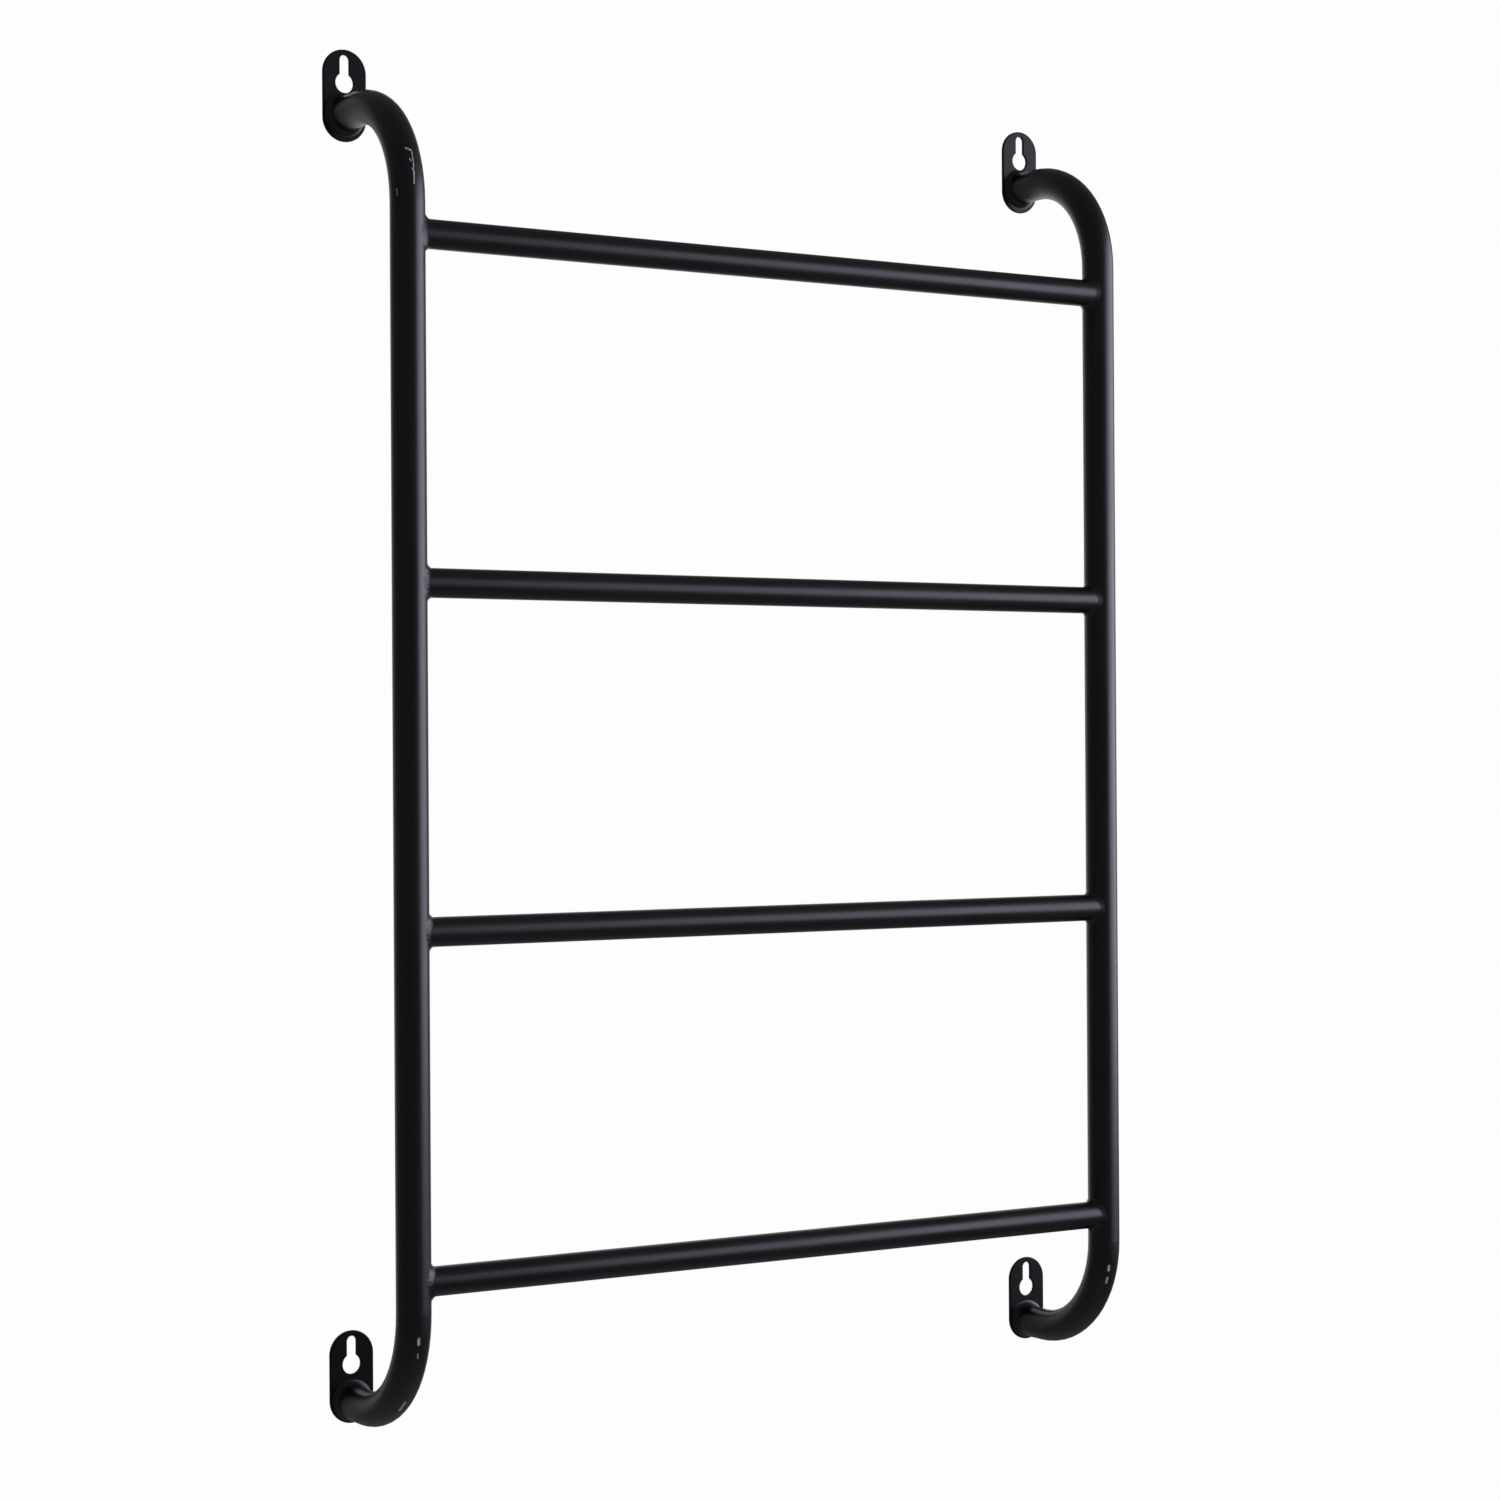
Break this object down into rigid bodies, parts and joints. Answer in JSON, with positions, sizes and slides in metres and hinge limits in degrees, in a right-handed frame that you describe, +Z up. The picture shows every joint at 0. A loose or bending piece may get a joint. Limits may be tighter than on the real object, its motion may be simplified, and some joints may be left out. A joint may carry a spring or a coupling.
{
  "type": "wall-mounted blanket ladder",
  "caption": "Wall-hung blanket ladder: round side rails that bend back to keyholed wall tabs at top and bottom, joined by level round rungs, all welded and black.",
  "frame": {"origin": "on the wall plane, at the centre of the rectangle of the four keyholes' round holes", "axes": "+Z up, +Y from the ladder into the wall, +X to the right as seen from the room"},
  "size_m": [0.489, 0.0895, 0.7574],
  "materials": {
    "black_powder_coat": "satin powder coat"
  },
  "bodies": {
    "root": {"left_rail": "black_powder_coat", "right_rail": "black_powder_coat", "top_left_tab": "black_powder_coat", "top_right_tab": "black_powder_coat", "top_tab_welds": "black_powder_coat", "bottom_left_tab": "black_powder_coat", "bottom_right_tab": "black_powder_coat", "bottom_tab_welds": "black_powder_coat", "rung_1": "black_powder_coat", "rung_1_welds": "black_powder_coat", "rung_2": "black_powder_coat", "rung_2_welds": "black_powder_coat", "rung_3": "black_powder_coat", "rung_3_welds": "black_powder_coat", "rung_4": "black_powder_coat", "rung_4_welds": "black_powder_coat"}
  },
  "joints": []
}
